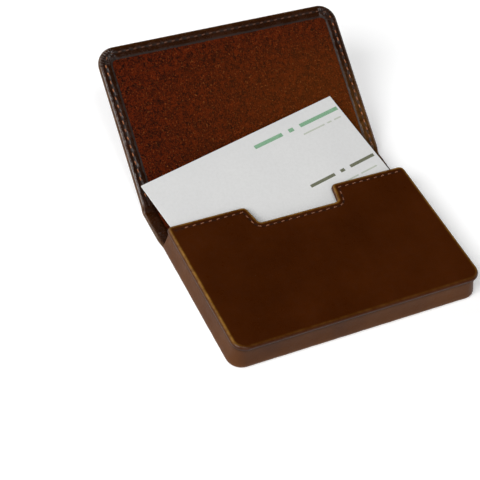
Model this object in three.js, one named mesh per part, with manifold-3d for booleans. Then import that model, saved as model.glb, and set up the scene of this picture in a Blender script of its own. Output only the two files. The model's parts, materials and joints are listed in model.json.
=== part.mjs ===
// A leather business card case: a stiff pocket for cards, a spine, and a flap that folds over the pocket.
// Millimetres, +Z up. The case lies open on its back. The origin is the middle of the pocket's back face.
import * as THREE from 'three';
import { mergeVertices } from 'three/addons/utils/BufferGeometryUtils.js';
import Module from 'manifold-3d';

const wasm = await Module();
wasm.setup();

// Pocket
const POCKET_WIDTH = 98.2;
const POCKET_LENGTH = 58.2;
const POCKET_DEPTH = 10.4;
const FRONT_THICKNESS = 2.0;
const MOUTH_Y = POCKET_LENGTH / 2;
const BOTTOM_Y = -POCKET_LENGTH / 2;
const MOUTH_CORNER = 2.2;
const BOTTOM_CORNER = 5;

// Thumb notch in the front panel's mouth
const NOTCH_MOUTH = 35.6;
const NOTCH_FLOOR = 32.2;
const NOTCH_DEPTH = 8.5;
const NOTCH_LIP_RADIUS = 2;
const NOTCH_FLOOR_RADIUS = 3;

// Sheet materials
const LEATHER = 0.85;
const BACK_BOARD = 0.7;
const FRONT_BOARD = 0.8;
const LINING = 0.25;
const THREAD = 0.25;
const THREAD_WIDTH = 0.5;
const GAP = 0.05;

// Wall between the pocket's back and front, set in under the front panel and flaring out to the back cover
const WALL_INSET = 0.9;
const WALL_CORE = 0.5;
const WALL_SKIN = 0.4;
const WALL_LINING = 0.2;
const WALL_FLARE = 1.1;

// Back cover, spine and flap
const COVER_WIDTH = 100.4;
const BACK_OVERHANG = 0.6;
const BACK_FOLD_Y = MOUTH_Y + 3.7;
const SPINE_LENGTH = 12.3;
const FLAP_LENGTH = 63.2;
const FLAP_CORNER = 7;
const FLAP_THICKNESS = 2.4;
const FLAP_ANGLE = THREE.MathUtils.degToRad(31.7);
const HEM_WIDTH = 5;
const HEM = 0.65;
const CREASE_GAP = 0.6;
const FOLD_CLEARANCE = 1.9;

// Seams
const SEAM_FROM_EDGE = 2.5;

// A standard card, leaning from the pocket's floor out of its mouth
const CARD_SIZE = new THREE.Vector3(88.9, 50.8, 0.3);
const CARD_CORNER = new THREE.Vector3(36.3, 66.5, 16.18);
const CARD_TURN = THREE.MathUtils.degToRad(12);
const CARD_TILT = Math.atan(0.213);

const ARC_STEPS = 6;

const LEATHER_BROWN = { color: 0x4a2410, roughness: 0.4 };
const EDGE_BROWN = { color: 0x5b3a26, roughness: 0.5 };
const LINING_RUST = { color: 0x5f2a0b, roughness: 0.9 };
const THREAD_TAN = { color: 0xc0824f, roughness: 0.7 };
const BOARD_GREY = { color: 0x8c8377, roughness: 0.95 };
const CARD_WHITE = { color: 0xf2f2ee, roughness: 0.6 };

const part = new THREE.Group();
const flap = new THREE.Group();

function addMesh(parent, name, geometry, finish) {
  const mesh = new THREE.Mesh(geometry, new THREE.MeshStandardMaterial({ ...finish, metalness: 0 }));
  mesh.name = name;
  parent.add(mesh);
  return mesh;
}

// The points of an arc about a corner's centre, from one angle to another, in degrees.
function arc(x, y, radius, from, to) {
  const points = [];
  for (let i = 0; i <= ARC_STEPS; i += 1) {
    const angle = THREE.MathUtils.degToRad(from + ((to - from) * i) / ARC_STEPS);
    points.push(new THREE.Vector2(x + radius * Math.cos(angle), y + radius * Math.sin(angle)));
  }
  return points;
}

// A slab between two heights with the given outline.
function slab(points, low, high) {
  const geometry = new THREE.ExtrudeGeometry(new THREE.Shape(points), {
    depth: high - low,
    bevelEnabled: false,
  });
  return geometry.translate(0, 0, low);
}

function toSolid(geometry) {
  const bare = geometry.clone();
  bare.deleteAttribute('normal');
  bare.deleteAttribute('uv');
  const merged = mergeVertices(bare);
  return new wasm.Manifold(new wasm.Mesh({
    numProp: 3,
    vertProperties: new Float32Array(merged.attributes.position.array),
    triVerts: new Uint32Array(merged.index.array),
  }));
}

function toGeometry(solid) {
  const mesh = solid.getMesh();
  const geometry = new THREE.BufferGeometry();
  geometry.setAttribute('position', new THREE.BufferAttribute(mesh.vertProperties, 3));
  geometry.setIndex(new THREE.BufferAttribute(mesh.triVerts, 1));
  geometry.computeVertexNormals();
  return geometry;
}

function cut(body, ...tools) {
  return toGeometry(tools.reduce((solid, tool) => solid.subtract(toSolid(tool)), toSolid(body)));
}

// A solid between two outlines of as many points each: one at its low end and one at its high end.
function loft(lowPoints, highPoints, low, high) {
  const count = lowPoints.length;
  const positions = [
    ...lowPoints.flatMap((point) => [point.x, point.y, low]),
    ...highPoints.flatMap((point) => [point.x, point.y, high]),
  ];
  const caps = THREE.ShapeUtils.triangulateShape(lowPoints, []);
  const faces = caps.flatMap(([a, b, c]) => [a, c, b, a + count, b + count, c + count]);
  for (let i = 0; i < count; i += 1) {
    const next = (i + 1) % count;
    faces.push(i, next, next + count, i, next + count, i + count);
  }
  const geometry = new THREE.BufferGeometry();
  geometry.setAttribute('position', new THREE.Float32BufferAttribute(positions, 3));
  return geometry.setIndex(faces);
}

// The front panel's mouth edge from right to left, with the thumb notch, drawn in by inset.
function mouthEdge(inset) {
  const edge = MOUTH_Y - inset;
  const halfMouth = NOTCH_MOUTH / 2 + inset;
  const halfFloor = NOTCH_FLOOR / 2 + inset;
  const lip = Math.max(NOTCH_LIP_RADIUS - inset, 0.1);
  const corner = NOTCH_FLOOR_RADIUS + inset;
  const floor = MOUTH_Y - NOTCH_DEPTH - inset;
  return [
    ...arc(halfMouth + lip, edge - lip, lip, 90, 180),
    ...arc(halfFloor - corner, floor + corner, corner, 0, -90),
    ...arc(corner - halfFloor, floor + corner, corner, -90, -180),
    ...arc(-halfMouth - lip, edge - lip, lip, 0, 90),
  ];
}

// The front panel's outline, drawn in by inset.
function frontOutline(inset) {
  const half = POCKET_WIDTH / 2 - inset;
  const mouth = MOUTH_CORNER - Math.min(inset, MOUTH_CORNER - 0.1);
  const bottom = BOTTOM_CORNER - inset;
  const top = MOUTH_Y - inset;
  const foot = BOTTOM_Y + inset;
  return [
    ...arc(half - bottom, foot + bottom, bottom, -90, 0),
    ...arc(half - mouth, top - mouth, mouth, 0, 90),
    ...mouthEdge(inset),
    ...arc(mouth - half, top - mouth, mouth, 90, 180),
    ...arc(bottom - half, foot + bottom, bottom, 180, 270),
  ];
}

// A plain panel's outline: round at the foot, square at the top.
function footedOutline(halfWidth, foot, top, radius) {
  return [
    ...arc(halfWidth - radius, foot + radius, radius, -90, 0),
    new THREE.Vector2(halfWidth, top),
    new THREE.Vector2(-halfWidth, top),
    ...arc(radius - halfWidth, foot + radius, radius, 180, 270),
  ];
}

// One layer of the wall: a U round the pocket's sides and foot, open at the mouth. Its outer and inner
// faces stand at the two insets from the front panel's edge, and lean out by their flares at the bottom.
function wallLayer(outer, inner, outerFlare, innerFlare) {
  const face = (inset, end) =>
    footedOutline(POCKET_WIDTH / 2 - inset, BOTTOM_Y + inset, end, BOTTOM_CORNER - inset);
  const block = (inset, flare, end) => loft(face(inset - flare, end), face(inset, end), floorZ, frontUnder);
  return cut(block(outer, outerFlare, MOUTH_Y - WALL_INSET), block(inner, innerFlare, MOUTH_Y + 1));
}

// The flap's outline in its own plane, drawn in by inset: the fold is y = 0, the far corners are round.
function flapOutline(inset, start) {
  const half = COVER_WIDTH / 2 - inset;
  const radius = FLAP_CORNER - inset;
  const far = FLAP_LENGTH - inset;
  return [
    new THREE.Vector2(-half, start),
    new THREE.Vector2(half, start),
    ...arc(half - radius, far - radius, radius, 0, 90),
    ...arc(radius - half, far - radius, radius, 90, 180),
  ];
}

// A line of thread along an open path: the band between two insets of the same path.
function threadBand(path) {
  const outer = path(SEAM_FROM_EDGE - THREAD_WIDTH / 2);
  const inner = path(SEAM_FROM_EDGE + THREAD_WIDTH / 2);
  return [...outer, ...inner.reverse()];
}

// Heights in the pocket, from the back face up.
const backBoardTop = LEATHER + BACK_BOARD;
const floorZ = backBoardTop + LINING;
const frontUnder = POCKET_DEPTH - FRONT_THICKNESS;
const frontLiningTop = frontUnder + FRONT_THICKNESS - LEATHER - FRONT_BOARD;
const frontBoardTop = POCKET_DEPTH - LEATHER;

// Pocket, back: outer leather, stiffening board, lining.
const backFoot = BOTTOM_Y - BACK_OVERHANG;
const backTop = BACK_FOLD_Y - CREASE_GAP;
const boardTop = BACK_FOLD_Y - FOLD_CLEARANCE;
const boardHalf = POCKET_WIDTH / 2 - GAP;
const backOutline = footedOutline(
  POCKET_WIDTH / 2 + BACK_OVERHANG, backFoot, backTop, BOTTOM_CORNER + BACK_OVERHANG);
addMesh(part, 'back_cover', slab(backOutline, 0, LEATHER), LEATHER_BROWN);
addMesh(part, 'back_board',
  slab(footedOutline(boardHalf, BOTTOM_Y, boardTop, BOTTOM_CORNER), LEATHER, backBoardTop), BOARD_GREY);
addMesh(part, 'back_lining',
  slab(footedOutline(boardHalf, BOTTOM_Y, boardTop, BOTTOM_CORNER), backBoardTop, floorZ), LINING_RUST);

// Pocket, wall: outer leather skin, stiff core, lining.
const coreFace = WALL_INSET + WALL_SKIN;
const liningFace = coreFace + WALL_CORE;
addMesh(part, 'wall_leather', wallLayer(WALL_INSET, coreFace, WALL_FLARE, WALL_FLARE), EDGE_BROWN);
addMesh(part, 'wall_core', wallLayer(coreFace, liningFace, WALL_FLARE, 0), BOARD_GREY);
addMesh(part, 'wall_lining', wallLayer(liningFace, liningFace + WALL_LINING, 0, 0), LINING_RUST);

// Pocket, front: leather turned down over the edges of a board, with a lining behind it.
const frontCore = frontOutline(LEATHER);
const frontFill = frontOutline(LEATHER + GAP);
addMesh(part, 'front_cover',
  cut(slab(frontOutline(0), frontUnder, POCKET_DEPTH), slab(frontCore, frontUnder - 1, frontBoardTop)),
  LEATHER_BROWN);
addMesh(part, 'front_board', slab(frontFill, frontLiningTop, frontBoardTop), BOARD_GREY);
addMesh(part, 'front_lining', slab(frontFill, frontUnder, frontLiningTop), LINING_RUST);

// The seam along the mouth runs on to just short of the panel's sides.
function mouthSeam(inset) {
  const end = POCKET_WIDTH / 2 - SEAM_FROM_EDGE;
  return [
    new THREE.Vector2(end, MOUTH_Y - inset),
    ...mouthEdge(inset),
    new THREE.Vector2(-end, MOUTH_Y - inset),
  ];
}
addMesh(part, 'mouth_thread', slab(threadBand(mouthSeam), POCKET_DEPTH, POCKET_DEPTH + THREAD), THREAD_TAN);

// Spine: leather with its side edges turned in, and a lining between them.
const spineStart = BACK_FOLD_Y + CREASE_GAP;
const spineEnd = BACK_FOLD_Y + SPINE_LENGTH - CREASE_GAP;
const spineLiningStart = BACK_FOLD_Y + FOLD_CLEARANCE;
const spineLiningEnd = BACK_FOLD_Y + SPINE_LENGTH - FOLD_CLEARANCE;
const hemInner = COVER_WIDTH / 2 - HEM_WIDTH;

function rectangle(halfWidth, start, end) {
  return [
    new THREE.Vector2(-halfWidth, start),
    new THREE.Vector2(halfWidth, start),
    new THREE.Vector2(halfWidth, end),
    new THREE.Vector2(-halfWidth, end),
  ];
}
const spineStrip = rectangle(COVER_WIDTH / 2, spineStart, spineEnd);
const spineWindow = rectangle(hemInner, spineStart - 1, spineEnd + 1);
const foldStrips = [
  rectangle(COVER_WIDTH, spineStart - 1, spineLiningStart),
  rectangle(COVER_WIDTH, spineLiningEnd, spineEnd + 1),
].map((outline) => slab(outline, LEATHER, LEATHER + 2 * HEM));
addMesh(part, 'spine_cover',
  cut(slab(spineStrip, 0, LEATHER + HEM), slab(spineWindow, LEATHER, LEATHER + 2 * HEM), ...foldStrips),
  LEATHER_BROWN);
addMesh(part, 'spine_lining',
  slab(rectangle(hemInner - GAP, spineLiningStart, spineLiningEnd), LEATHER, LEATHER + LINING), LINING_RUST);

// Flap: its plane starts at the fold, half way through the outer leather, and it stands open.
flap.position.set(0, BACK_FOLD_Y + SPINE_LENGTH, LEATHER / 2);
flap.rotation.set(FLAP_ANGLE, 0, 0);
part.add(flap);

const flapOuter = -LEATHER / 2;
const flapBoardLow = LEATHER / 2;
const flapInner = flapOuter + FLAP_THICKNESS;
const flapBoardHigh = flapInner - HEM;
const flapStart = FOLD_CLEARANCE;
addMesh(flap, 'flap_cover',
  cut(
    slab(flapOutline(0, CREASE_GAP), flapOuter, flapInner),
    slab(flapOutline(LEATHER, 0), flapBoardLow, flapBoardHigh),
    slab(flapOutline(HEM_WIDTH, 0), flapBoardLow, flapInner + 1),
    slab(rectangle(COVER_WIDTH, 0, flapStart), flapBoardLow, flapInner + 1),
  ),
  LEATHER_BROWN);
addMesh(flap, 'flap_board',
  slab(flapOutline(LEATHER + GAP, flapStart + GAP), flapBoardLow + GAP, flapBoardHigh - GAP), BOARD_GREY);
addMesh(flap, 'flap_lining',
  slab(flapOutline(HEM_WIDTH + GAP, flapStart + GAP), flapBoardHigh, flapBoardHigh + 2 * LINING - GAP),
  LINING_RUST);

// The seam round the flap's three free sides: one thread shows outside and one inside.
const flapSeam = (inset) => flapOutline(inset, flapStart).slice(1).concat(
  new THREE.Vector2(inset - COVER_WIDTH / 2, flapStart));
addMesh(flap, 'flap_inner_thread',
  slab(threadBand(flapSeam), flapInner + GAP, flapInner + GAP + THREAD), THREAD_TAN);
addMesh(flap, 'flap_outer_thread',
  slab(threadBand(flapSeam), flapOuter - GAP - THREAD, flapOuter - GAP), THREAD_TAN);

// The card's place is set by its upper right corner, its turn in its own plane and its tilt.
const card = addMesh(part, 'business_card',
  new THREE.BoxGeometry(CARD_SIZE.x, CARD_SIZE.y, CARD_SIZE.z), CARD_WHITE);
card.rotation.set(CARD_TILT, 0, CARD_TURN);
const toCorner = new THREE.Vector3(CARD_SIZE.x / 2, CARD_SIZE.y / 2, 0).applyEuler(card.rotation);
card.position.copy(CARD_CORNER).sub(toCorner);

export default part;
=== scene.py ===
"""A leather business card case standing open, with a card leaning out of its pocket.

Lengths are in millimetres until a mesh is made. Flat layouts are (across, along, height), and are folded
into place afterwards."""
import json
import math

import bmesh
import bpy
import numpy as np
from mathutils import Matrix, Vector, noise
from mathutils.geometry import delaunay_2d_cdt


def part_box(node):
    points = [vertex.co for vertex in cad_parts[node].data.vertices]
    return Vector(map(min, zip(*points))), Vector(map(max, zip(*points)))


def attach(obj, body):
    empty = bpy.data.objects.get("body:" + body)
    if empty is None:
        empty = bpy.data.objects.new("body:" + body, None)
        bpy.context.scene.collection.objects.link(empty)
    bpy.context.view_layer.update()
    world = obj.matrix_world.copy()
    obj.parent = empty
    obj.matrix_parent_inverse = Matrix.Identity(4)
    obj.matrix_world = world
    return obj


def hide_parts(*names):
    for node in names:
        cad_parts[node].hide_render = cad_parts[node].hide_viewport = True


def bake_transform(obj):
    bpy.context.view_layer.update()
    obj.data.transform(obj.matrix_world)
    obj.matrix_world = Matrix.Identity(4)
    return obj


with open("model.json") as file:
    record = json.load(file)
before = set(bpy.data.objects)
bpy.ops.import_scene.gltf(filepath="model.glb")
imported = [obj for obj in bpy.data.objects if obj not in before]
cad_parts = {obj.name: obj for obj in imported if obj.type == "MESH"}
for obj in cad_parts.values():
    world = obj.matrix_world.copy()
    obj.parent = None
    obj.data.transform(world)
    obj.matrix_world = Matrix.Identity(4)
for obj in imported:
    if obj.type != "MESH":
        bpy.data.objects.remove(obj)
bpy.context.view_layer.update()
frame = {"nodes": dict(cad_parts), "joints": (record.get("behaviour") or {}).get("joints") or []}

MM = 0.001
EDGE_STEP = 0.6        # the spacing of points along an outline
THICKNESS = 0.65       # leather
LINING_THICKNESS, FLAP_SUEDE_THICKNESS = 0.2, 0.3
FRONT_BOARD_THICKNESS, BACK_BOARD_THICKNESS, FLAP_BOARD_THICKNESS = 0.6, 0.65, 0.8
SEAM_INSET = 2.5       # from an edge to its stitches
PITCH = 3.1            # from one stitch to the next
SEAM_STEP = 0.25       # the spacing of points along a seam
SEAM_RINGS = (2.15, 2.35, 2.5, 2.65, 2.85)  # insets that give a seam's groove its shape

joints = {joint["name"]: joint for joint in frame["joints"]}


def node_box(name):
    """The lowest and highest corners of a CAD node, in millimetres."""
    low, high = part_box(name)
    return low / MM, high / MM


front_low, front_high = node_box("front_cover")
card_low, card_high = node_box("business_card")
fold_one = Vector(joints["spine_fold"]["pos_m"]) / MM
fold_two = Vector(joints["flap_fold"]["pos_m"]) / MM

HALF = front_high.x
FOOT = front_low.y
MOUTH = front_high.y
TOP = front_high.z
UNDER = front_low.z
COVER_HALF = node_box("spine_cover")[1].x
SPINE_MIDDLE = (fold_one.y + fold_two.y) / 2
FLAP_ANGLE = math.radians(31.7)
FLAP_LENGTH = 63.2
HEM_WIDTH = 5.0
FOLD_START, FOLD_END = -2.0, 3.2  # the flap's bend, from its fold
POCKET_FOLD_END = 3.5             # the end of the bend between pocket and spine, from its fold
NOTCH_MOUTH, NOTCH_FLOOR, NOTCH_DEPTH = 35.6, 32.2, 8.5
NOTCH_MOUTH_CORNER, NOTCH_FLOOR_CORNER = 2.2, 1.2
FOOT_CORNER, MOUTH_CORNER, FLAP_CORNER = 5.0, 2.2, 7.0


# ---------------------------------------------------------------- outlines

def smooth(value):
    """Eases from 0 to 1 as value goes from 0 to 1."""
    t = min(max(value, 0.0), 1.0)
    return t * t * (3 - 2 * t)


def rounded(corners, inset=0.0, closed=True, step=EDGE_STEP):
    """An anticlockwise path with round corners, drawn in by inset. A corner is (x, y, radius, steps).
    The number of points doesn't depend on inset."""
    count = len(corners)
    spots = [Vector(corner[:2]) for corner in corners]
    edges = count if closed else count - 1
    ways = [(spots[(i + 1) % count] - spots[i]).normalized() for i in range(edges)]
    inward = [Vector((-way.y, way.x)) for way in ways]
    arcs, reaches = [], []
    for i, (_, _, radius, steps) in enumerate(corners):
        if not closed and i in (0, count - 1):
            arcs.append([spots[i] + inward[min(i, edges - 1)] * inset])
            reaches.append(0.0)
            continue
        before, after = (i - 1) % edges, i % edges
        mitre = inward[before] + inward[after]
        moved = spots[i] + mitre / (1 + inward[before].dot(inward[after])) * inset
        turn = math.atan2(
            ways[before].x * ways[after].y - ways[before].y * ways[after].x, ways[before].dot(ways[after])
        )
        side = math.copysign(1.0, turn)
        drawn = max(radius - side * inset, 0.02)
        reach = math.tan(abs(turn) / 2)
        start = moved - ways[before] * drawn * reach
        centre = start + inward[before] * side * drawn
        spokes = [Matrix.Rotation(turn * k / steps, 2) @ (start - centre) for k in range(steps + 1)]
        arcs.append([centre + spoke for spoke in spokes])
        reaches.append(radius * reach)
    points = []
    for i in range(count):
        points += arcs[i]
        if i == edges:
            break
        after = (i + 1) % count
        length = (spots[after] - spots[i]).length - reaches[i] - reaches[after]
        parts = max(1, round(length / step))
        start, end = arcs[i][-1], arcs[after][0]
        points += [start.lerp(end, k / parts) for k in range(1, parts)]
    return points


def front_corners():
    """The front panel, with the thumb notch in its mouth edge."""
    mouth, floor = NOTCH_MOUTH / 2, NOTCH_FLOOR / 2
    low = MOUTH - NOTCH_DEPTH
    return [
        (-HALF, FOOT, FOOT_CORNER, 16),
        (HALF, FOOT, FOOT_CORNER, 16),
        (HALF, MOUTH, MOUTH_CORNER, 12),
        (mouth, MOUTH, NOTCH_MOUTH_CORNER, 10),
        (floor, low, NOTCH_FLOOR_CORNER, 8),
        (-floor, low, NOTCH_FLOOR_CORNER, 8),
        (-mouth, MOUTH, NOTCH_MOUTH_CORNER, 10),
        (-HALF, MOUTH, MOUTH_CORNER, 12),
    ]


def back_corners():
    """The back cover and its half of the spine: down the left side, round the foot and up the right."""
    proud, ease = 0.15, 12
    half, foot, corner = HALF + proud, FOOT - proud, FOOT_CORNER + 0.2
    wide, narrow = MOUTH + 2.5, MOUTH - 3
    return [
        (-COVER_HALF, SPINE_MIDDLE, 0, 1),
        (-COVER_HALF, wide, ease, 4),
        (-half, narrow, ease, 4),
        (-half, foot, corner, 16),
        (half, foot, corner, 16),
        (half, narrow, ease, 4),
        (COVER_HALF, wide, ease, 4),
        (COVER_HALF, SPINE_MIDDLE, 0, 1),
    ]


def flap_corners():
    """The flap and its half of the spine, laid flat: y is measured from the second fold."""
    start = SPINE_MIDDLE - fold_two.y
    return [
        (COVER_HALF, start, 0, 1),
        (COVER_HALF, FLAP_LENGTH, FLAP_CORNER, 96),
        (-COVER_HALF, FLAP_LENGTH, FLAP_CORNER, 96),
        (-COVER_HALF, start, 0, 1),
    ]


def mouth_seam():
    """The seam along the front panel's mouth, from right to left."""
    end = HALF - SEAM_INSET
    corners = [(end, MOUTH, 0, 1)] + front_corners()[3:7] + [(-end, MOUTH, 0, 1)]
    return rounded(corners, SEAM_INSET, closed=False, step=SEAM_STEP)


def flap_seam():
    """The seam round the flap's free sides, from the lower right to the lower left."""
    corners = flap_corners()
    corners[0] = (COVER_HALF, FOLD_END, 0, 1)
    corners[-1] = (-COVER_HALF, FOLD_END, 0, 1)
    return rounded(corners, SEAM_INSET, closed=False, step=SEAM_STEP)


# ---------------------------------------------------------------- sheets

FILL_INSET = 10.0  # stands for the inset of every point inside the last ring


class Sheet:
    """A thin sheet: rings that follow an outline inwards, then an even mesh inside the last ring.

    profile(point) gives each ring's (inset, height), and fill_height(x, y) the height inside the rings.
    holes_and_shade holds each point's share of darkening: needle-hole marks and painted shade."""

    def __init__(self, corners, profile, closed=True, fill_step=2.0, fill_height=None, step=EDGE_STEP):
        self.corners, self.closed, self.step = corners, closed, step
        self.paths = {}
        base = self.path(0.0)
        rows = [profile(point) for point in base]
        self.count = len(base)
        self.points, self.insets, self.faces, self.holes_and_shade = [], [], [], {}
        for ring in range(len(rows[0])):
            for i, row in enumerate(rows):
                inset, height = row[ring]
                spot = self.path(inset)[i]
                self.points.append(Vector((spot.x, spot.y, height)))
                self.insets.append(inset)
        self.rings = len(rows[0])
        self.join_rings()
        if fill_height:
            self.fill(fill_step, fill_height)

    def path(self, inset):
        """The outline drawn in by inset, kept for the next ring that asks for it."""
        key = round(inset, 2)
        if key not in self.paths:
            self.paths[key] = rounded(self.corners, key, self.closed, self.step)
        return self.paths[key]

    def join_rings(self):
        """Joins each ring to the next with four-sided faces."""
        spans = self.count if self.closed else self.count - 1
        for ring in range(self.rings - 1):
            for i in range(spans):
                j = (i + 1) % self.count
                a, b = ring * self.count, (ring + 1) * self.count
                self.faces.append((a + i, a + j, b + j, b + i))

    def fill(self, step, height):
        """Meshes the inside of the last ring with near-even triangles, set in staggered rows."""
        first = (self.rings - 1) * self.count
        border = [self.points[first + i] for i in range(self.count)]
        known = list(range(first, first + self.count))
        if not self.closed:
            start, end = border[-1], border[0]
            parts = max(2, round((end - start).length / step))
            for k in range(1, parts):
                spot = start.lerp(end, k / parts)
                known.append(len(self.points))
                self.points.append(spot)
                self.insets.append(self.insets[first])
                border.append(spot)
        ring = np.array([(p.x, p.y) for p in border])
        low, high = ring.min(0), ring.max(0)
        columns = np.arange(low[0] + step / 2, high[0], step)
        row_step, clear = step * 0.87, step * 0.55
        rows = np.arange(low[1] + step / 2, high[1], row_step)
        spots = np.array([
            (x + (step / 2 if r % 2 else 0), y) for r, y in enumerate(rows) for x in columns])
        spots = spots[inside(spots, ring)]
        spots = spots[nearest(spots, ring)[0] > clear]
        flat = [Vector(p) for p in ring] + [Vector(p) for p in spots]
        edges = [(i, (i + 1) % len(border)) for i in range(len(border))]
        out, _, faces, origins, _, _ = delaunay_2d_cdt(flat, edges, [], 1, 1e-5)
        index = []
        for spot, origin in zip(out, origins):
            if origin and origin[0] < len(border):
                index.append(known[origin[0]])
                continue
            index.append(len(self.points))
            self.points.append(Vector((spot.x, spot.y, height(spot.x, spot.y))))
            self.insets.append(FILL_INSET)
        self.faces += [tuple(index[i] for i in face) for face in faces]


def inside(spots, ring):
    """Which spots lie inside a closed ring."""
    found = np.zeros(len(spots), bool)
    following = np.roll(ring, -1, 0)
    for (x0, y0), (x1, y1) in zip(ring, following):
        if y0 == y1:
            continue
        crossing = (y0 > spots[:, 1]) != (y1 > spots[:, 1])
        where = x0 + (spots[:, 1] - y0) * (x1 - x0) / (y1 - y0)
        found ^= crossing & (spots[:, 0] < where)
    return found


def nearest(spots, line):
    """Each spot's distance to the nearest point of a line, and that point's index."""
    best = np.full(len(spots), 1e9)
    which = np.zeros(len(spots), int)
    for i, point in enumerate(line):
        distance = np.hypot(spots[:, 0] - point[0], spots[:, 1] - point[1])
        closer = distance < best
        best[closer] = distance[closer]
        which[closer] = i
    return best, which


def press_seam(sheet, seam, side, depth=0.16, width=0.42):
    """Presses a line of stitches into a sheet, deepest at each needle hole, and paints shade along the
    groove, darkest at each hole.

    side(point) is 1 on an upper face, -1 on a lower one and 0 to leave it be."""
    line = np.array([tuple(p) for p in seam()])
    travel = np.concatenate([[0], np.cumsum(np.hypot(*np.diff(line, axis=0).T))])
    spots = np.array([(p.x, p.y) for p in sheet.points])
    distance, which = nearest(spots, line)
    for i, point in enumerate(sheet.points):
        if distance[i] > width * 3 or not side(point):
            continue
        hole = math.cos(math.pi * travel[which[i]] / PITCH) ** 4
        pressed = math.exp(-(distance[i] / width) ** 2)
        point.z -= side(point) * depth * (0.5 + 0.5 * hole) * pressed
        sheet.holes_and_shade[i] = max(sheet.holes_and_shade.get(i, 0), (0.35 + 0.65 * hole) * pressed)


def fold_flap(point):
    """Takes a point from the flat layout of the flap to its place."""
    angle = FLAP_ANGLE * smooth((point.y - FOLD_START) / (FOLD_END - FOLD_START))
    across, up = math.cos(angle), math.sin(angle)
    return Vector((
        point.x,
        fold_two.y + point.y * across - point.z * up,
        fold_two.z + point.y * up + point.z * across,
    ))


def build(name, points, faces, material, place=None, thickness=0.0, tone=None, sharp=50):
    """Makes an object from points in millimetres.

    place moves each point from its flat layout, thickness is added evenly to both sides, and tone holds
    (scuffed edge and painted light, broad painted light, needle-hole marks and painted shade, 1) for each
    point."""
    mesh = bpy.data.meshes.new(name)
    mesh.from_pydata([(place(p) if place else p) * MM for p in points], [], faces)
    layer = mesh.attributes.new("tone", "FLOAT_COLOR", "POINT")
    tones = np.array(tone or [(0, 0, 0, 1)] * len(points), np.float32)
    layer.data.foreach_set("color", tones.ravel())
    piece = bpy.data.objects.new(name, mesh)
    bpy.context.scene.collection.objects.link(piece)
    mesh.materials.append(material)
    if thickness:
        solid = piece.modifiers.new("thickness", "SOLIDIFY")
        solid.thickness = thickness * MM
        solid.offset = 0
        evaluated = piece.evaluated_get(bpy.context.evaluated_depsgraph_get())
        piece.data = bpy.data.meshes.new_from_object(evaluated)
        piece.modifiers.clear()
        bpy.data.meshes.remove(mesh)
        mesh = piece.data
        mesh.name = name
    edit = bmesh.new()
    edit.from_mesh(mesh)
    bmesh.ops.recalc_face_normals(edit, faces=edit.faces)
    edit.to_mesh(mesh)
    edit.free()
    mesh.polygons.foreach_set("use_smooth", [True] * len(mesh.polygons))
    mesh.set_sharp_from_angle(angle=math.radians(sharp))
    return piece


# ---------------------------------------------------------------- materials

def srgb(red, green, blue):
    """A colour given as 0 to 255, as the renderer's linear values."""
    def channel(value):
        share = value / 255
        return share / 12.92 if share <= 0.04045 else ((share + 0.055) / 1.055) ** 2.4
    return (channel(red), channel(green), channel(blue), 1.0)


class Shader:
    """A Principled material and short ways to add nodes to it."""

    def __init__(self, name, **settings):
        self.material = bpy.data.materials.new(name)
        self.material.use_nodes = True
        self.tree = self.material.node_tree
        self.surface = self.tree.nodes["Principled BSDF"]
        self.place = self.add("ShaderNodeTexCoord").outputs["Object"]
        for key, value in settings.items():
            self.surface.inputs[key].default_value = value

    def add(self, kind, inputs=None, **settings):
        node = self.tree.nodes.new(kind)
        for key, value in settings.items():
            setattr(node, key, value)
        for key, value in (inputs or {}).items():
            if isinstance(value, bpy.types.NodeSocket):
                self.tree.links.new(value, node.inputs[key])
            else:
                node.inputs[key].default_value = value
        return node

    def noise(self, scale, detail=4.0, rough=0.55, stretch=None, distortion=0.0):
        place = self.place
        if stretch:
            place = self.add("ShaderNodeMapping", {"Vector": place, "Scale": stretch}).outputs[0]
        node = self.add(
            "ShaderNodeTexNoise",
            {"Vector": place, "Scale": scale, "Detail": detail, "Roughness": rough,
             "Distortion": distortion},
        )
        return node.outputs["Fac"]

    def cells(self, scale):
        node = self.add("ShaderNodeTexVoronoi", {"Vector": self.place, "Scale": scale})
        return node.outputs["Distance"]

    def span(self, value, low, high, out_low=0.0, out_high=1.0):
        """Maps value from low..high to out_low..out_high."""
        node = self.add("ShaderNodeMapRange", {
            "Value": value, "From Min": low, "From Max": high, "To Min": out_low, "To Max": out_high})
        return node.outputs[0]

    def math(self, operation, first, second):
        return self.add("ShaderNodeMath", {0: first, 1: second}, operation=operation).outputs[0]

    def mix(self, share, first, second):
        node = self.add("ShaderNodeMix", data_type="RGBA")
        for socket, value in ((node.inputs[0], share), (node.inputs[6], first), (node.inputs[7], second)):
            if isinstance(value, bpy.types.NodeSocket):
                self.tree.links.new(value, socket)
            else:
                socket.default_value = value
        return node.outputs[2]

    def tone(self):
        """The shares painted on the mesh: scuffed edges with painted light on some parts, a broad painted
        light, and darkening at needle-hole marks with painted shade in grooves, pleats and under rims.
        """
        node = self.add("ShaderNodeAttribute", attribute_name="tone")
        split = self.add("ShaderNodeSeparateColor", {"Color": node.outputs["Color"]})
        return split.outputs[0], split.outputs[1], split.outputs[2]

    def bump(self, height, distance, strength=1.0):
        node = self.add("ShaderNodeBump", {"Height": height, "Distance": distance, "Strength": strength})
        self.tree.links.new(node.outputs[0], self.surface.inputs["Normal"])

    def set(self, name, value):
        self.tree.links.new(value, self.surface.inputs[name])


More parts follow.
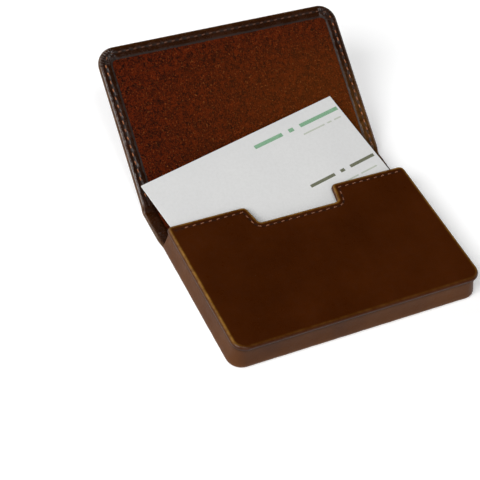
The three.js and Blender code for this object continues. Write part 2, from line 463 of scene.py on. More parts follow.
def leather(name, dark, light, pale_edge, rough=(0.24, 0.42), grain=0.00005, creases=0.3, gloss=0.35):
    """Polished leather: uneven dye, fine pores and creases, scuffed edges, painted light where a part
    asks for it, and dark, matt needle-hole marks that also carry painted shade.
    """
    shader = Shader(name, **{"Specular IOR Level": gloss})
    wear_and_painted_light, shade, holes_and_shade = shader.tone()
    broad = shader.noise(38, 5, 0.6)
    fine = shader.noise(420, 4, 0.6)
    colour = shader.mix(shader.span(broad, 0.3, 0.7), dark, light)
    # Painted light: the broad tone lightens the colour towards light.
    colour = shader.mix(shader.math("MULTIPLY", shade, 0.8), colour, light)
    # Scuffed edges, and on some parts a painted highlight line and a patch of painted light.
    scuffs_and_painted_light = shader.math("MULTIPLY", wear_and_painted_light, shader.span(fine, 0.3, 0.65, 0.25, 1.0))
    colour = shader.mix(scuffs_and_painted_light, colour, pale_edge)
    # Darkening at each needle hole, and painted shade in seam grooves, pleat valleys and under rims.
    shader.set("Base Color", shader.mix(shader.math("MULTIPLY", holes_and_shade, 0.85), colour, srgb(16, 7, 2)))
    polish = shader.span(shader.math("ADD", broad, fine), 0.7, 1.3, *rough)
    shader.set("Roughness", shader.math("ADD", polish, shader.math("MULTIPLY", holes_and_shade, 0.35)))
    pores = shader.cells(1500)
    folds = shader.noise(160, 3, 0.5, (1.0, 0.35, 1.0), 1.2)
    creased = shader.math("MULTIPLY", folds, creases * 4)
    height = shader.math("ADD", shader.math("MULTIPLY", pores, 0.6), creased)
    height = shader.math("ADD", height, shader.math("MULTIPLY", fine, 0.5))
    shader.bump(height, grain)
    return shader.material


def suede():
    """The lining: short nap, mottled rust brown with paler flecks, and painted light that makes it paler
    and more golden where the tone asks.
    """
    finish = {"Sheen Weight": 0.03, "Sheen Roughness": 0.5, "Specular IOR Level": 0.08}
    shader = Shader("suede_lining", **finish)
    shader.surface.inputs["Sheen Tint"].default_value = srgb(190, 110, 60)
    _, shade, _ = shader.tone()
    coarse = shader.noise(520, 3, 0.6, None, 0.6)
    curls = shader.noise(1500, 3, 0.6, (1.0, 0.7, 1.0), 1.6)
    clumps = shader.add("ShaderNodeMix", {0: 0.72, 2: coarse, 3: curls}).outputs[0]
    flecks = shader.noise(1500, 3, 0.6)
    broad = shader.noise(45, 3, 0.5)
    colour = shader.mix(shader.span(clumps, 0.41, 0.6), srgb(6, 1, 0), srgb(94, 28, 0))
    colour = shader.mix(shader.span(broad, 0.35, 0.7, 0, 0.25), colour, srgb(58, 18, 0))
    # Painted light: paler and more golden where the second tone channel asks.
    colour = shader.mix(shader.math("MULTIPLY", shade, 0.6), colour, srgb(118, 64, 5))
    colour = shader.mix(shader.span(flecks, 0.6, 0.75, 0, 0.6), colour, srgb(158, 90, 40))
    shader.set("Base Color", colour)
    shader.set("Roughness", shader.span(clumps, 0.3, 0.7, 0.95, 0.8))
    shader.bump(shader.math("ADD", clumps, shader.math("MULTIPLY", flecks, 0.6)), 0.0003)
    return shader.material


def thread():
    """Twisted, waxed thread."""
    shader = Shader("waxed_thread", **{"Sheen Weight": 0.2, "Specular IOR Level": 0.35})
    twist = shader.noise(1400, 3, 0.5, (1.0, 1.0, 1.0), 1.0)
    _, darkening, _ = shader.tone()
    colour = shader.mix(shader.span(twist, 0.35, 0.65), srgb(120, 62, 26), srgb(190, 116, 66))
    shader.set("Base Color", shader.mix(darkening, colour, srgb(52, 24, 8)))
    shader.set("Roughness", shader.span(twist, 0.3, 0.7, 0.45, 0.65))
    shader.bump(twist, 0.00008)
    return shader.material


def board():
    """Pressed grey fibreboard."""
    shader = Shader("fibreboard", **{"Specular IOR Level": 0.2})
    fibres = shader.noise(700, 5, 0.7, (1.0, 0.3, 1.0))
    shader.set("Base Color", shader.mix(fibres, srgb(96, 88, 78), srgb(150, 140, 126)))
    shader.set("Roughness", shader.span(fibres, 0.3, 0.7, 0.85, 0.97))
    shader.bump(fibres, 0.00006)
    return shader.material


def paper():
    """Uncoated card stock."""
    shader = Shader("card_stock", **{"Specular IOR Level": 0.3})
    fibres = shader.noise(900, 5, 0.65)
    broad = shader.noise(30, 2, 0.5)
    colour = shader.mix(shader.span(broad, 0.3, 0.7), srgb(208, 208, 208), srgb(214, 214, 213))
    colour = shader.mix(shader.span(fibres, 0.4, 0.7, 0, 0.3), colour, srgb(196, 196, 194))
    shader.set("Base Color", colour)
    shader.set("Roughness", shader.span(fibres, 0.3, 0.7, 0.5, 0.62))
    shader.bump(fibres, 0.00001)
    return shader.material


def ink(name, dark, light):
    """Matt printing ink, a little uneven."""
    shader = Shader(name, **{"Specular IOR Level": 0.2})
    cover = shader.noise(2200, 3, 0.6)
    shader.set("Base Color", shader.mix(shader.span(cover, 0.35, 0.65), dark, light))
    shader.set("Roughness", shader.span(cover, 0.3, 0.7, 0.6, 0.75))
    return shader.material


# The chestnut's pale colour paints a highlight line along the front panel's rim.
CHESTNUT = leather("chestnut_leather", srgb(50, 18, 0), srgb(61, 24, 0), srgb(136, 96, 34), gloss=0.18)
COVER = leather("cover_leather", srgb(22, 6, 0), srgb(46, 18, 0), srgb(108, 68, 24), rough=(0.13, 0.34),
                grain=0.00006, creases=0.6, gloss=0.4)
WALL = leather("wall_leather", srgb(60, 30, 8), srgb(84, 48, 18), srgb(120, 82, 46), rough=(0.4, 0.55),
               gloss=0.12)
SUEDE = suede()
THREAD = thread()
BOARD = board()
PAPER = paper()


# ---------------------------------------------------------------- the front panel

def bell(value, middle, width):
    """A smooth hump, 1 at middle."""
    return math.exp(-(((value - middle) / width) ** 2))


def edge_wear(point, inset):
    """Wear at the very edge of a sheet."""
    return 0.7 * bell(inset, 0, 0.7)


def edge_tone(sheet, shade=lambda p: 0.0, wear_and_painted_light=edge_wear):
    """The tone of a sheet's points, from its scuffed edges and painted light, broad painted light, and
    needle-hole marks and painted shade.
    """
    return [
        (wear_and_painted_light(p, inset), shade(p), sheet.holes_and_shade.get(i, 0), 1)
        for i, (p, inset) in enumerate(zip(sheet.points, sheet.insets))
    ]


def turned_edge(centre_inset, centre_height, radius, up, steps=9):
    """The half round where a sheet turns over at its edge, from one face to the other."""
    points = []
    for k in range(steps + 1):
        angle = math.pi * k / steps
        height = centre_height + radius * math.cos(angle) * up
        points.append((centre_inset - radius * math.sin(angle), height))
    return points


def undulation(x, y, size, amount):
    """Slow, shallow unevenness."""
    return amount * noise.noise(Vector((x / size, y / size, 3.7)))


UNDERLAP = 3.2  # the front leather's turned edge, on the panel's underside


def make_stiffener(name, sheet, thickness, body, node, place=None):
    """Stiff board inside the leather."""
    piece = build(name, sheet.points, sheet.faces, BOARD, place, thickness)
    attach(piece, body)
    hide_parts(node)


def flat_sheet(corners, insets, height, step, fill_step):
    """A level sheet with two rings at its edge."""
    rows = [(inset, height) for inset in insets]
    return Sheet(corners, lambda p: rows, step=step, fill_step=fill_step, fill_height=lambda x, y: height)


def make_front():
    """The front panel: leather rolled over a board, with a lined underside."""
    middle = (TOP + UNDER) / 2
    turn = (TOP - UNDER - THICKNESS) / 2
    top = TOP - THICKNESS / 2
    low = UNDER + THICKNESS / 2
    rows = [(inset, low) for inset in (UNDERLAP, 2.2, 1.5)]
    rows += turned_edge(turn + THICKNESS / 2, middle, turn, -1)
    rows += [(inset, top) for inset in (1.3, 1.6, 1.9) + SEAM_RINGS + (3.1, 3.5, 4.2, 5.2)]

    def crown(x, y):
        return top + undulation(x, y, 14, 0.05)

    sheet = Sheet(front_corners(), lambda p: rows, fill_step=1.6, fill_height=crown)
    press_seam(sheet, mouth_seam, lambda p: 1 if p.z > middle else 0)
    for i, point in enumerate(sheet.points):  # painted shade: the rim's underside is darkened
        if point.z < middle and sheet.insets[i] < UNDERLAP + 0.1:
            sheet.holes_and_shade[i] = smooth((middle + 0.1 - point.z) / 0.5)

    # Painted sheen: the panel is lighter towards the right and the mouth, unevenly.
    def shade(p):
        return 0.6 * smooth((p.x + p.y) / 70) * (0.5 + noise.noise(Vector((p.x / 20, p.y / 20, 1))))

    def wear_and_painted_light(p, inset):
        """A painted highlight: a light line just inside the edge, on the rounded rim, fainter along the
        foot.
        """
        highlight_share = 0.12 + 0.88 * smooth((p.y - FOOT) / 6)
        return highlight_share * bell(inset, 0.85, 0.3) if p.z > middle else 0

    piece = build("front_leather", sheet.points, sheet.faces, CHESTNUT, thickness=THICKNESS,
                  tone=edge_tone(sheet, shade, wear_and_painted_light))
    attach(piece, "pocket")
    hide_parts("front_cover")

    stiff = flat_sheet(front_corners(), (1.6, 2.4), height=middle, step=2, fill_step=6)
    make_stiffener("front_stiffener", stiff, FRONT_BOARD_THICKNESS, "pocket", "front_board")

    level = UNDER + 0.12
    rows = [(UNDERLAP - 0.3, level), (UNDERLAP + 0.2, level)]
    lining = Sheet(front_corners(), lambda p: rows, step=1.5, fill_step=4,
                   fill_height=lambda x, y: level + undulation(x, y, 5, 0.06))
    under = build("front_inner_lining", lining.points, lining.faces, SUEDE, thickness=LINING_THICKNESS)
    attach(under, "pocket")
    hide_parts("front_lining")


# ---------------------------------------------------------------- the wall

WALL_INSET, WALL_WIDTH, WALL_SKIN = 1.1, 0.7, 0.35
# how far the wall stands out, at depths below the front panel, and then at heights at the foot
WALL_FLARE = (
    (-0.3, 0.0), (0.2, 0.0), (1, 0.08), (2, 0.2), (3.5, 0.45),
    (5, 0.8), (6.3, 1.15), (7.2, 1.36), (7.7, 1.4), (8.0, 1.3),
)
WALL_FOOT = ((0.21, 1.05), (0.2, 0.3))


def wall_path(end):
    """Round the outside of the wall, and in at its two ends."""
    outer = HALF - WALL_INSET
    inner, foot, turned = outer - WALL_WIDTH, FOOT + WALL_INSET, end - 3
    corner = FOOT_CORNER - WALL_INSET
    corners = [
        (-inner, turned, 0, 1),
        (-inner, end, 0.3, 4),
        (-outer, end, 0.3, 4),
        (-outer, foot, corner, 18),
        (outer, foot, corner, 18),
        (outer, end, 0.3, 4),
        (inner, end, 0.3, 4),
        (inner, turned, 0, 1),
    ]
    return rounded(corners, 0, closed=False)


def make_wall():
    """Thin leather over the wall, tucked under the front panel, flaring out to the table, and turned
    round the wall's two ends."""
    end = node_box("wall_leather")[1].y + 0.1
    floor = node_box("back_lining")[1].z
    inner_half = HALF - WALL_INSET - WALL_WIDTH
    path = wall_path(end)
    levels = [(UNDER - depth, flare) for depth, flare in WALL_FLARE] + list(WALL_FOOT)
    points, tones = [], []
    for height, flare in levels:
        for i, spot in enumerate(path):
            before, after = path[max(i - 1, 0)], path[min(i + 1, len(path) - 1)]
            way = (after - before).normalized()
            out = Vector((way.y, -way.x))
            at_end = spot.y > end - 4
            outside = smooth((abs(spot.x) - inner_half - 0.05) / 0.6) if at_end else 1.0
            if at_end:
                out = Vector((math.copysign(1.0, spot.x), 0.0))
            moved = spot + out * flare * outside
            ripple = 0.08 * noise.noise(Vector((spot.x / 3.5, spot.y / 3.5, height / 9)))
            low = height if outside > 0.5 else max(height, floor + 0.2)
            points.append(Vector((moved.x + out.x * ripple, moved.y + out.y * ripple, low)))
            # A scuffed, paler band at the foot; painted light that lightens the wall towards the bottom;
            # and painted shadow, darkest at the wall's top under the rim.
            pale_edge = 0.5 * bell(height, 0.5, 0.5)
            shadow = bell(height, UNDER, 0.8) if height < UNDER else 1.0
            tones.append((pale_edge, 0.5 * smooth((5 - height) / 6), shadow, 1))
    count = len(path)
    faces = [
        (r * count + i, r * count + i + 1, (r + 1) * count + i + 1, (r + 1) * count + i)
        for r in range(len(levels) - 1)
        for i in range(count - 1)
    ]
    piece = build("wall_skin", points, faces, WALL, thickness=WALL_SKIN, tone=tones)
    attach(piece, "pocket")
    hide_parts("wall_leather")


# ---------------------------------------------------------------- the cover

HEM_TOP = 1.65       # the leather's middle, above the fold's axis, on the flap's hem
SPINE_HEM_TOP = 0.8  # on the spine's hem
OUTER = -0.1         # and on the outer face
HEM_MIDDLE = (HEM_TOP + OUTER) / 2
TUCK, TUCK_LENGTH = 0.16, 1.2  # how the two linings dip where they meet
PLEATS, PLEAT_HEIGHT = 8.5, 0.3  # round each of the flap's far corners
HEM_LIP, HEM_LIP_REACH = 4.1, 0.9  # where the hem darkens towards its cut edge


def cover_rows(top):
    """The leather's cross section where it turns over at the edge: hem, turn, outer face."""
    turn = (top - OUTER) / 2
    rows = [(HEM_WIDTH + 0.1, top - 0.3), (HEM_WIDTH - 0.25, top - 0.17), (HEM_WIDTH - 0.7, top - 0.05)]
    rows += [(inset, top) for inset in (4.0, 3.7, 3.3, 3.0, 2.8, 2.65, 2.5, 2.35, 2.2, 2.0, 1.7, 1.4)]
    rows += turned_edge(turn + THICKNESS / 2, (top + OUTER) / 2, turn, 1, 10)
    rows += [(inset, OUTER) for inset in (1.5, 1.9) + SEAM_RINGS + (3.2, 4, 5.5)]
    return rows


def pocket_blend(piece):
    """Bakes a piece's placement into its mesh. The ends of the bend between the pocket and the spine are
    worked out, but nothing bends the piece.
    """
    start, end = fold_one.copy(), fold_one.copy()
    start.y += FOLD_START
    end.y += POCKET_FOLD_END
    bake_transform(piece)


def make_back():
    """The back cover and half of the spine, with its board."""
    rows = [(inset, height + fold_one.z) for inset, height in cover_rows(SPINE_HEM_TOP)]
    outer = OUTER + fold_one.z
    sheet = Sheet(back_corners(), lambda p: rows, closed=False, fill_step=2.2,
                  fill_height=lambda x, y: outer + abs(undulation(x, y, 12, 0.05)))
    piece = build("back_leather", sheet.points, sheet.faces, COVER, thickness=THICKNESS,
                  tone=edge_tone(sheet))
    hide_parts("back_cover")
    pocket_blend(piece)

    low, high = node_box("back_board")
    left, right = low.x + HEM_WIDTH + 0.2, high.x - HEM_WIDTH - 0.2
    foot = FOOT + HEM_WIDTH
    corners = [(left, high.y, 1, 3), (left, foot, 3, 6), (right, foot, 3, 6), (right, high.y, 1, 3)]
    stiff = flat_sheet(corners, (0, 0.5), height=(low.z + high.z) / 2, step=3, fill_step=8)
    make_stiffener("back_stiffener", stiff, BACK_BOARD_THICKNESS, "pocket", "back_board")


def make_pocket_lining():
    """Lines the pocket's floor, then drops over the board's edge to the spine."""
    floor = node_box("back_lining")[1].z - 0.12
    spine = node_box("spine_lining")[1].z - 0.1
    half, foot = HALF - 2.2, FOOT + 2.2
    narrow = COVER_HALF - HEM_WIDTH + 0.05
    right = [
        (half, foot, 2.9, 8),
        (half, MOUTH - 1, 3, 4),
        (narrow, MOUTH + 2, 3, 4),
        (narrow, SPINE_MIDDLE, 0, 1),
    ]
    corners = [(-x, y, radius, steps) for x, y, radius, steps in reversed(right)] + right

    def height(y):
        tucked = TUCK * smooth((y - SPINE_MIDDLE + TUCK_LENGTH) / TUCK_LENGTH)
        return spine + (floor - spine) * smooth((fold_one.y - 0.8 - y) / 2.2) - tucked

    def rows(point):
        return [(inset, height(point.y)) for inset in (0, 0.4)]

    def nap(x, y):
        return height(y) + 0.07 * noise.noise(Vector((x, y, 0)) / 1.7)

    sheet = Sheet(corners, rows, closed=False, step=0.9, fill_step=1.3, fill_height=nap)
    piece = build("pocket_lining", sheet.points, sheet.faces, SUEDE, thickness=LINING_THICKNESS)
    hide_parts("back_lining")
    pocket_blend(piece)


def raise_share(y):
    """How far the flap's inner layers have risen to full height, from the spine to the flap."""
    return smooth((y + 0.5) / 4.0)


def flap_blend(piece):
    """Bakes a piece's placement into its mesh; it doesn't bend the piece with the fold between the spine
    and the flap.
    """
    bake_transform(piece)


def pleat_corners(sheet):
    """Gathers the hem into a fan of small pleats round the flap's far corners, and creases the rest.
    Darkens the hem towards its cut edge, and paints shade into the pleats' valleys.
    """
    for i, (point, inset) in enumerate(zip(sheet.points, sheet.insets)):
        if point.z < HEM_MIDDLE or inset > HEM_WIDTH + 0.11:
            continue
        # Darker towards the cut edge: partly the cut leather's own colour, partly painted shade over a
        # lip that the lights catch.
        sheet.holes_and_shade[i] = 0.9 * smooth((inset - HEM_LIP) / HEM_LIP_REACH)
        dx = abs(point.x) - (COVER_HALF - FLAP_CORNER)
        dy = point.y - (FLAP_LENGTH - FLAP_CORNER)
        ramp = smooth((inset - 0.15) / 1.2)
        left = point.x < 0
        if dx > -1 and dy > -1:
            share = math.atan2(max(dy, 0.01), max(dx, 0.01)) / (math.pi / 2)
            window = smooth(share / 0.08) * smooth((1 - share) / 0.08)
            wobble = 0.35 * noise.noise(Vector((share * 7, inset / 2.5, 1.0 if left else 4.0)))
            fold = math.cos(2 * math.pi * (PLEATS * share + wobble))
            point.z += (1.0 if left else 0.7) * window * ramp * PLEAT_HEIGHT * (fold - 0.15)
            # Painted shade in the pleats' valleys.
            sheet.holes_and_shade[i] = max(sheet.holes_and_shade[i], 0.8 * window * ramp * smooth(-fold))
        crease = noise.noise(Vector((point.x / 1.3, point.y / 0.9, 5))) + 0.7 * noise.noise(point / 0.7)
        lively = 0.1 if point.x < -COVER_HALF + HEM_WIDTH else 0.07
        point.z += lively * ramp * crease


def make_flap():
    """The flap and the other half of the spine, in one piece of leather turned over at its edges."""
    def rows(point):
        return cover_rows(SPINE_HEM_TOP + (HEM_TOP - SPINE_HEM_TOP) * raise_share(point.y))

    def outer(x, y):
        return OUTER - 0.04 + undulation(x, y, 11, 0.06)

    sheet = Sheet(flap_corners(), rows, closed=False, step=0.5, fill_step=1.6, fill_height=outer)
    pleat_corners(sheet)
    press_seam(sheet, flap_seam, lambda p: 1 if p.z > HEM_MIDDLE else -1)

    # Painted sheen: lighter on the left towards the fold, and a little lighter all over the right.
    def shade(p):
        return 0.5 * smooth((20 - p.y) / 30) if p.x < 0 else 0.15

    def wear_and_painted_light(p, inset):
        """Rubbed at the very edge, and a patch of painted light on the hem at the right, towards the
        fold.
        """
        lit_patch = smooth((p.x - 43) / 3) * smooth((46 - p.y) / 40) if p.z > HEM_MIDDLE else 0
        return edge_wear(p, inset) + 0.8 * lit_patch

    tone = edge_tone(sheet, shade, wear_and_painted_light)
    piece = build("flap_leather", sheet.points, sheet.faces, COVER, fold_flap, THICKNESS, tone)
    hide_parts("flap_cover", "spine_cover")
    flap_blend(piece)


# (inset, how far the suede dips there, to pass under the hem)
LINING_EDGE = ((4.6, 0.34), (4.85, 0.2), (5.05, 0.1), (5.3, 0.04), (5.7, 0.01), (6.3, 0.0))
LINING_TOP, LINING_DROP = 1.6, 1.02


def make_flap_lining():
    """The flap's suede and board. The suede dips under the hem, and drops towards the spine."""
    corners = flap_corners()
    start = corners[0][1] - TUCK_LENGTH
    corners[0], corners[-1] = (COVER_HALF, start, 0, 1), (-COVER_HALF, start, 0, 1)

    def height(y):
        tucked = TUCK * (1 - smooth((y - start) / TUCK_LENGTH))
        return LINING_TOP - LINING_DROP * (1 - raise_share(y)) - tucked

    def rows(point):
        return [(inset, height(point.y) - down) for inset, down in LINING_EDGE]

    def nap(x, y):
        rough = noise.fractal(Vector((x / 1.6, y / 1.6, 2)), 1.0, 2.0, 4)
        return height(y) + 0.09 * rough + undulation(x, y, 13, 0.08)

    sheet = Sheet(corners, rows, closed=False, step=0.9, fill_step=0.8, fill_height=nap)
    for point, inset in zip(sheet.points, sheet.insets):
        if inset <= LINING_EDGE[-1][0]:
            point.z += 0.05 * noise.noise(point / 1.3)

    def shade(p):
        """Painted light: paler towards the right, most of all near the fold."""
        low = smooth((26 - p.y) / 30) * smooth((p.x + 10) / 45)
        across = smooth((p.x + 55) / 100) * smooth((FLAP_LENGTH + 6 - p.y) / 40)
        return (0.0, min(1.0, 0.3 * across + 0.95 * low), 0, 1)

    inner, low, far = COVER_HALF - 3, 4.5, FLAP_LENGTH - 3
    outline = [(-inner, low, 1, 3), (inner, low, 1, 3), (inner, far, 5, 8), (-inner, far, 5, 8)]
    stiff = flat_sheet(outline, (0, 0.5), height=0.8, step=3, fill_step=8)
    make_stiffener("flap_stiffener", stiff, FLAP_BOARD_THICKNESS, "flap", "flap_board", fold_flap)

    tone = [shade(p) for p in sheet.points]
    piece = build("flap_suede", sheet.points, sheet.faces, SUEDE, fold_flap, FLAP_SUEDE_THICKNESS, tone)
    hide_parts("flap_lining", "spine_lining")
    flap_blend(piece)


# ---------------------------------------------------------------- stitches

STITCH_RINGS, STITCH_SIDES = 9, 8
STITCH_RADIUS = 0.21
STITCH_SHARE, STITCH_VARIES = 0.56, 0.06  # a stitch's length and its variation, as shares of the pitch
STITCH_RISE, STITCH_DIP = 0.08, 0.34      # at a stitch's middle and its ends
STITCH_SLANT = math.radians(7)
STITCH_SUNK = 0.14                        # how far the thread lies in its groove


def stitches(name, seam, height, up, place, body, node, darkening):
    """A row of separate stitches along a seam, each a short thread that dips into its holes.

    up is 1 on an upper face and -1 on a lower one. darkening(spot) is how much darker a stitch is made."""
    line = seam()
    travel = [0.0]
    for a, b in zip(line, line[1:]):
        travel.append(travel[-1] + (b - a).length)
    points, faces, tones = [], [], []
    at = 0
    for k in range(int(travel[-1] / PITCH)):
        middle = (k + 0.5) * PITCH
        while travel[at + 1] < middle:
            at += 1
        share = (middle - travel[at]) / (travel[at + 1] - travel[at])
        spot = line[at].lerp(line[at + 1], share)
        way = (line[min(at + 3, len(line) - 1)] - line[max(at - 2, 0)]).normalized()
        slant = Matrix.Rotation(STITCH_SLANT, 2) @ way
        across = Vector((-slant.y, slant.x))
        length = PITCH * (STITCH_SHARE + STITCH_VARIES * noise.noise(Vector((k, 0.5, 0))))
        first = len(points)
        for ring in range(STITCH_RINGS):
            t = 2 * ring / (STITCH_RINGS - 1) - 1
            radius = STITCH_RADIUS * math.sqrt(max(1 - t ** 4, 0.02))
            centre = spot + slant * (t * length / 2)
            lift = height + up * (STITCH_RISE - STITCH_DIP * t ** 4)
            for side in range(STITCH_SIDES):
                angle = 2 * math.pi * side / STITCH_SIDES + t * 1.2
                ply = radius * (1 + 0.12 * math.cos(2 * angle))
                flat = centre + across * ply * math.cos(angle)
                points.append(Vector((flat.x, flat.y, lift + ply * math.sin(angle))))
                tones.append((0, darkening(spot), 0, 1))
        for ring in range(STITCH_RINGS - 1):
            for side in range(STITCH_SIDES):
                a, b = first + ring * STITCH_SIDES, first + (ring + 1) * STITCH_SIDES
                j = (side + 1) % STITCH_SIDES
                faces.append((a + side, a + j, b + j, b + side))
        faces.append(tuple(first + side for side in reversed(range(STITCH_SIDES))))
        last = first + (STITCH_RINGS - 1) * STITCH_SIDES
        faces.append(tuple(last + side for side in range(STITCH_SIDES)))
    piece = build(name, points, faces, THREAD, place, tone=tones, sharp=80)
    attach(piece, body)
    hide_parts(node)


def make_stitches():
    """The three rows of stitches: the pocket's mouth, and the flap's inner and outer faces."""
    def far_edge(p):
        """Darkest along the flap's far edge."""
        return 0.25 + 0.6 * smooth((p.y - FLAP_LENGTH + 4.5) / 1.5)

    mouth = TOP - STITCH_SUNK
    stitches("mouth_stitches", mouth_seam, mouth, 1, None, "pocket", "mouth_thread",
             darkening=lambda p: 0.62)
    inner = HEM_TOP + THICKNESS / 2 - STITCH_SUNK
    stitches("flap_inner_stitches", flap_seam, inner, 1, fold_flap, "flap", "flap_inner_thread",
             darkening=far_edge)
    outer = OUTER - THICKNESS / 2 + STITCH_SUNK
    stitches("flap_outer_stitches", flap_seam, outer, -1, fold_flap, "flap", "flap_outer_thread",
             darkening=lambda p: 0.4)


# ---------------------------------------------------------------- the card

CARD_WIDTH, CARD_HEIGHT, CARD_THICKNESS = 88.9, 50.8, 0.3
CARD_TURN = math.radians(12)
CARD_TILT = math.atan(0.213)
INK_THICKNESS, INK_CLEARANCE = 0.012, 0.004


def card_place(point):
    """Takes a point on the card, measured from its middle, to its place in the case."""
    turned = Matrix.Rotation(CARD_TILT, 3, "X") @ Matrix.Rotation(CARD_TURN, 3, "Z")
    return (card_low + card_high) / 2 + turned @ point


def card_bow(x, y):
    """The card's own slight curl."""
    return 0.12 * (x / CARD_WIDTH * 2) ** 2 - 0.05 * math.cos(y / 9)


def make_card():
    """A plain card with four lines of bars."""
    half, tall = CARD_WIDTH / 2, CARD_HEIGHT / 2
    corners = [(x, y, 0.25, 3) for x, y in ((-half, -tall), (half, -tall), (half, tall), (-half, tall))]
    sheet = Sheet(corners, lambda p: [(0, 0), (0.3, 0)], step=2, fill_step=3, fill_height=lambda x, y: 0)
    for point in sheet.points:
        point.z += card_bow(point.x, point.y)
    piece = build("card_sheet", sheet.points, sheet.faces, PAPER, card_place, CARD_THICKNESS, sharp=30)
    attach(piece, "card")
    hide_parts("business_card")

    green = ink("green_ink", srgb(112, 154, 122), srgb(134, 172, 142))
    olive = ink("olive_ink", srgb(94, 96, 78), srgb(114, 116, 96))
    pale = ink("pale_ink", srgb(172, 178, 164), srgb(188, 192, 180))
    print_line("printed_heading", green, (3.2, 44.0), 18.8, 1.6, (5, 1, 7))
    print_line("printed_strapline", pale, (24.0, 42.6), 15.4, 0.6, (9, 2, 3))
    print_line("printed_name", olive, (12.2, 43.6), -5.0, 1.3, (5, 1, 5))
    print_line("printed_role", pale, (23.2, 41.4), -9.2, 0.6, (8, 7))


def print_line(name, material, span, base, tall, words):
    """A line of plain bars standing in for print.

    span is its two ends, and words holds the bars' relative lengths."""
    start, end = span
    pitch = (end - start) / (sum(words) + len(words) - 1)
    points, faces = [], []
    lift = CARD_THICKNESS / 2 + INK_CLEARANCE
    section = ((base, 0), (base + tall, 0), (base + tall, INK_THICKNESS), (base, INK_THICKNESS))
    at = start
    for word in words:
        width = (word - 0.15) * pitch
        parts = max(2, round(width / 1.5))
        first = len(points)
        for k in range(parts + 1):
            x = at + width * k / parts
            for y, rise in section:
                points.append(Vector((x, y, card_bow(x, y) + lift + rise)))
        for k in range(parts):
            a = first + 4 * k
            faces += [(a + j, a + (j + 1) % 4, a + 4 + (j + 1) % 4, a + 4 + j) for j in range(4)]
        last = first + 4 * parts
        faces += [(first + 3, first + 2, first + 1, first), (last, last + 1, last + 2, last + 3)]
        at += (word + 1) * pitch
    piece = build(name, points, faces, material, card_place, sharp=30)
    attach(piece, "card")


# ---------------------------------------------------------------- the studio

# distances and sizes here are in metres
FLOOR_REACH, FLOOR_HEIGHT = 1.6, -0.0004
FLOOR_SHADE, FLOOR_GLOW = 0.93, 0.22
WORLD_LIGHT, WORLD_SEEN = 0.03, 0.96
LIGHT_AIM = Vector((0, 0.03, 0))
LIGHTS = (
    # name, direction, distance, size, power
    ("key", (-0.75, -0.25, 0.62), 1.5, 0.9, 18.5),
    ("back", (-0.45, 0.75, 0.5), 1.6, 1.2, 12),
    ("glint", (-0.15, -0.42, 0.9), 1.3, 0.35, 3.4),
    ("right", (0.9, -0.15, 0.42), 1.6, 0.8, 3),
    ("fill", (-0.1, -1.0, 0.55), 1.8, 1.4, 8),
)
CAMERA_PLACE = (-0.20605, -0.24822, 0.35755)
CAMERA_ANGLES = (-34.27, 47.47, 11.42)  # azimuth, elevation and roll, in degrees
CAMERA_LENS, CAMERA_SENSOR = 100.4, 36


def make_floor():
    """A plain pale floor."""
    mesh = bpy.data.meshes.new("floor")
    reach = FLOOR_REACH
    mesh.from_pydata([(-reach, -reach, 0), (reach, -reach, 0), (reach, reach, 0), (-reach, reach, 0)], [],
                     [(0, 1, 2, 3)])
    floor = bpy.data.objects.new("floor", mesh)
    floor.location.z = FLOOR_HEIGHT
    bpy.context.scene.collection.objects.link(floor)
    shader = Shader("pale_floor", **{"Roughness": 0.9, "Specular IOR Level": 0.1})
    shader.surface.inputs["Base Color"].default_value = (FLOOR_SHADE, FLOOR_SHADE, FLOOR_SHADE, 1)
    shader.surface.inputs["Emission Color"].default_value = (1, 1, 1, 1)
    shader.surface.inputs["Emission Strength"].default_value = FLOOR_GLOW
    mesh.materials.append(shader.material)


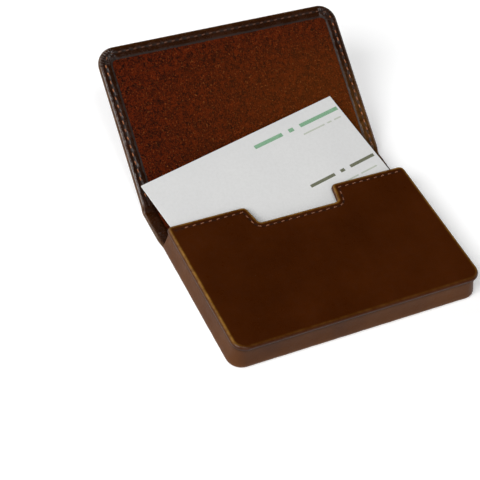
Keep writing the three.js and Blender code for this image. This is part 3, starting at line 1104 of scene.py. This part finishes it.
def make_light(name, direction, distance, size, power):
    """A soft round light."""
    lamp = bpy.data.lights.new(name, "AREA")
    lamp.shape = "DISK"
    lamp.size = size
    lamp.energy = power
    light = bpy.data.objects.new(name, lamp)
    way = Vector(direction).normalized()
    light.location = LIGHT_AIM + way * distance
    light.rotation_mode = "QUATERNION"
    light.rotation_quaternion = way.to_track_quat("Z", "Y")
    bpy.context.scene.collection.objects.link(light)


def make_world():
    """Pale to the camera, and dim as a light, so that polished leather stays dark."""
    world = bpy.data.worlds.new("studio")
    world.use_nodes = True
    tree = world.node_tree
    back = tree.nodes["Background"]
    ray = tree.nodes.new("ShaderNodeLightPath")
    mix = tree.nodes.new("ShaderNodeMix")
    mix.data_type = "RGBA"
    mix.inputs[6].default_value = (WORLD_LIGHT, WORLD_LIGHT, WORLD_LIGHT, 1)
    mix.inputs[7].default_value = (WORLD_SEEN, WORLD_SEEN, WORLD_SEEN, 1)
    tree.links.new(ray.outputs["Is Camera Ray"], mix.inputs[0])
    tree.links.new(mix.outputs[2], back.inputs["Color"])
    bpy.context.scene.world = world


def make_camera():
    """Front left, looking down, and rolled a little."""
    azimuth, elevation, roll = (math.radians(angle) for angle in CAMERA_ANGLES)
    back = Vector((
        math.sin(azimuth) * math.cos(elevation),
        -math.cos(azimuth) * math.cos(elevation),
        math.sin(elevation),
    ))
    level = Vector((math.cos(azimuth), math.sin(azimuth), 0))
    right = level * math.cos(roll) + back.cross(level) * math.sin(roll)
    up = back.cross(right)
    camera = bpy.data.objects.new("camera", bpy.data.cameras.new("camera"))
    camera.data.lens = CAMERA_LENS
    camera.data.sensor_width = CAMERA_SENSOR
    turned = Matrix((right, up, back)).transposed().to_4x4()
    camera.matrix_world = Matrix.Translation(CAMERA_PLACE) @ turned
    bpy.context.scene.collection.objects.link(camera)
    bpy.context.scene.camera = camera


def dress_frame():
    """Gives the CAD nodes that stay their own materials."""
    for name, material in (("wall_core", BOARD), ("wall_lining", SUEDE)):
        node = frame["nodes"][name]
        node.data.materials.clear()
        node.data.materials.append(material)


make_front()
make_wall()
make_back()
make_pocket_lining()
make_flap()
make_flap_lining()
make_stitches()
make_card()
dress_frame()
make_floor()
make_world()
for light in LIGHTS:
    make_light(*light)
make_camera()
bpy.context.scene.view_settings.view_transform = "Standard"
